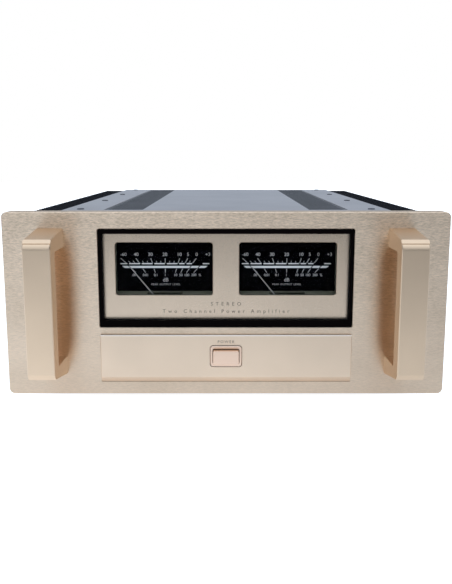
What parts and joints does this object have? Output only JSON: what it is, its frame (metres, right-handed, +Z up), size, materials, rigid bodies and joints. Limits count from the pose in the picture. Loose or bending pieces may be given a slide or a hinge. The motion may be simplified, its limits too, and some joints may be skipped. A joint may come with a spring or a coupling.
{
  "type": "stereo power amplifier",
  "caption": "Heavy stereo power amplifier with a champagne front panel, level meters behind glass, side handles, finned heatsinks, vented top and screw-down speaker posts.",
  "frame": {"origin": "on the surface that the feet stand on, at the centre of the whole footprint, handles and posts included", "axes": "+X to the right seen from the front, +Y from the front panel to the rear, +Z up"},
  "size_m": [0.482, 0.551, 0.2174],
  "materials": {
    "champagne_face": "brushed and anodised champagne, horizontal grain",
    "champagne_satin": "fine satin champagne anodising",
    "champagne_fascia": "satin champagne sheet behind glass",
    "black_metal": "semi-gloss black",
    "chassis_steel": "fine textured dark paint",
    "clear_glass": "clear and polished",
    "soft_rubber": "matt black rubber",
    "cover_grey": "satin grey anodised",
    "grille_dark": "dark grey, satin",
    "sink_black": "black anodised extrusion",
    "screw_black": "blackened steel",
    "screw_steel": "bright zinc plated",
    "switch_plastic": "black moulded switch body",
    "foot_plastic": "black moulded foot",
    "meter_case": "grey-green moulding",
    "dial_black": "matt black dial",
    "needle_pale": "pale painted pointer",
    "movement_steel": "soft iron pole piece and brass bridges",
    "lamp_white": "milky light bar",
    "board_green": "circuit board with parts",
    "potted_core": "black potted toroid",
    "clamp_steel": "zinc plated",
    "capacitor_sleeve": "shrink sleeve",
    "transistor_black": "moulded epoxy",
    "inlet_plastic": "black moulding",
    "gold_plate": "gold plated brass",
    "cap_black": "black moulded grip",
    "cap_red": "red moulded grip",
    "lead_black": "insulated lead",
    "lead_red": "insulated lead",
    "lead_white": "screened lead"
  },
  "bodies": {
    "chassis": {"front_panel": "champagne_face", "window_frame": "black_metal", "window_glass": "clear_glass", "window_gasket": "soft_rubber", "meter_fascia": "champagne_fascia", "sub_panel": "champagne_satin", "power_bezel": "champagne_satin", "power_switch": "switch_plastic", "handle_right": "champagne_satin", "handle_left": "champagne_satin", "handle_screws": "screw_steel", "front_chassis_plate": "chassis_steel", "bottom_plate": "chassis_steel", "rear_panel": "chassis_steel", "top_cover": "cover_grey", "vent_grille_right": "grille_dark", "vent_grille_left": "grille_dark", "cover_rails": "clamp_steel", "cover_screws": "screw_black", "chassis_screws": "screw_black", "heatsink_right": "sink_black", "heatsink_left": "sink_black", "feet": "foot_plastic", "foot_pads": "soft_rubber", "meter_case_left": "meter_case", "meter_case_right": "meter_case", "meter_dial_left": "dial_black", "meter_dial_right": "dial_black", "meter_movement_left": "movement_steel", "meter_movement_right": "movement_steel", "meter_lamps": "lamp_white", "meter_driver_board": "board_green", "power_transformer": "potted_core", "transformer_clamp": "clamp_steel", "filter_capacitors": "capacitor_sleeve", "capacitor_clamp": "clamp_steel", "power_supply_board": "board_green", "amplifier_board_right": "board_green", "amplifier_board_left": "board_green", "output_transistors": "transistor_black", "protection_board": "board_green", "mains_inlet": "inlet_plastic", "input_sockets": "gold_plate", "speaker_posts": "gold_plate", "mains_harness": "lead_black", "supply_leads": "lead_red", "audio_leads": "lead_white"},
    "button": {"power_button": "champagne_satin", "power_pushrod": "screw_steel"},
    "left_needle": {"meter_needle_left": "needle_pale"},
    "right_needle": {"meter_needle_right": "needle_pale"},
    "drawer": {"fuse_drawer": "inlet_plastic"},
    "washer_left_minus": {"post_washer_left_minus": "gold_plate"},
    "cap_left_minus": {"post_cap_left_minus": "cap_black"},
    "washer_left_plus": {"post_washer_left_plus": "gold_plate"},
    "cap_left_plus": {"post_cap_left_plus": "cap_red"},
    "washer_right_plus": {"post_washer_right_plus": "gold_plate"},
    "cap_right_plus": {"post_cap_right_plus": "cap_red"},
    "washer_right_minus": {"post_washer_right_minus": "gold_plate"},
    "cap_right_minus": {"post_cap_right_minus": "cap_black"}
  },
  "joints": [
    {"name": "power_button_press", "type": "slide", "parent": "chassis", "child": "button", "axis": [0, 1, 0], "range_m": [0, 0.004], "stiffness_N_per_m": 500, "springref_m": -0.001},
    {"name": "left_needle_swing", "type": "hinge", "parent": "chassis", "child": "left_needle", "pos_m": [-0.069, -0.1955, 0.1028], "axis": [0, 1, 0], "range_deg": [0, 82], "stiffness_Nm_per_rad": 0.0006, "springref_deg": -11.46},
    {"name": "right_needle_swing", "type": "hinge", "parent": "chassis", "child": "right_needle", "pos_m": [0.069, -0.1955, 0.1028], "axis": [0, 1, 0], "range_deg": [0, 82], "stiffness_Nm_per_rad": 0.0006, "springref_deg": -11.46},
    {"name": "fuse_drawer_slide", "type": "slide", "parent": "chassis", "child": "drawer", "axis": [0, 1, 0], "range_m": [0, 0.016]},
    {"name": "washer_left_minus_advance", "type": "slide", "parent": "chassis", "child": "washer_left_minus", "axis": [0, 1, 0], "range_m": [0, 0.004]},
    {"name": "cap_left_minus_turn", "type": "hinge", "parent": "washer_left_minus", "child": "cap_left_minus", "pos_m": [-0.135, 0.2645, 0.075], "axis": [0, 1, 0], "range_deg": [0, 1440.1]},
    {"name": "washer_left_plus_advance", "type": "slide", "parent": "chassis", "child": "washer_left_plus", "axis": [0, 1, 0], "range_m": [0, 0.004]},
    {"name": "cap_left_plus_turn", "type": "hinge", "parent": "washer_left_plus", "child": "cap_left_plus", "pos_m": [-0.105, 0.2645, 0.075], "axis": [0, 1, 0], "range_deg": [0, 1440.1]},
    {"name": "washer_right_plus_advance", "type": "slide", "parent": "chassis", "child": "washer_right_plus", "axis": [0, 1, 0], "range_m": [0, 0.004]},
    {"name": "cap_right_plus_turn", "type": "hinge", "parent": "washer_right_plus", "child": "cap_right_plus", "pos_m": [0.105, 0.2645, 0.075], "axis": [0, 1, 0], "range_deg": [0, 1440.1]},
    {"name": "washer_right_minus_advance", "type": "slide", "parent": "chassis", "child": "washer_right_minus", "axis": [0, 1, 0], "range_m": [0, 0.004]},
    {"name": "cap_right_minus_turn", "type": "hinge", "parent": "washer_right_minus", "child": "cap_right_minus", "pos_m": [0.135, 0.2645, 0.075], "axis": [0, 1, 0], "range_deg": [0, 1440.1]}
  ],
  "couplings": [
    {"joint": "cap_left_minus_turn", "follows": "washer_left_minus_advance", "rad_per_m": 6283.2},
    {"joint": "cap_left_plus_turn", "follows": "washer_left_plus_advance", "rad_per_m": 6283.2},
    {"joint": "cap_right_plus_turn", "follows": "washer_right_plus_advance", "rad_per_m": 6283.2},
    {"joint": "cap_right_minus_turn", "follows": "washer_right_minus_advance", "rad_per_m": 6283.2}
  ]
}
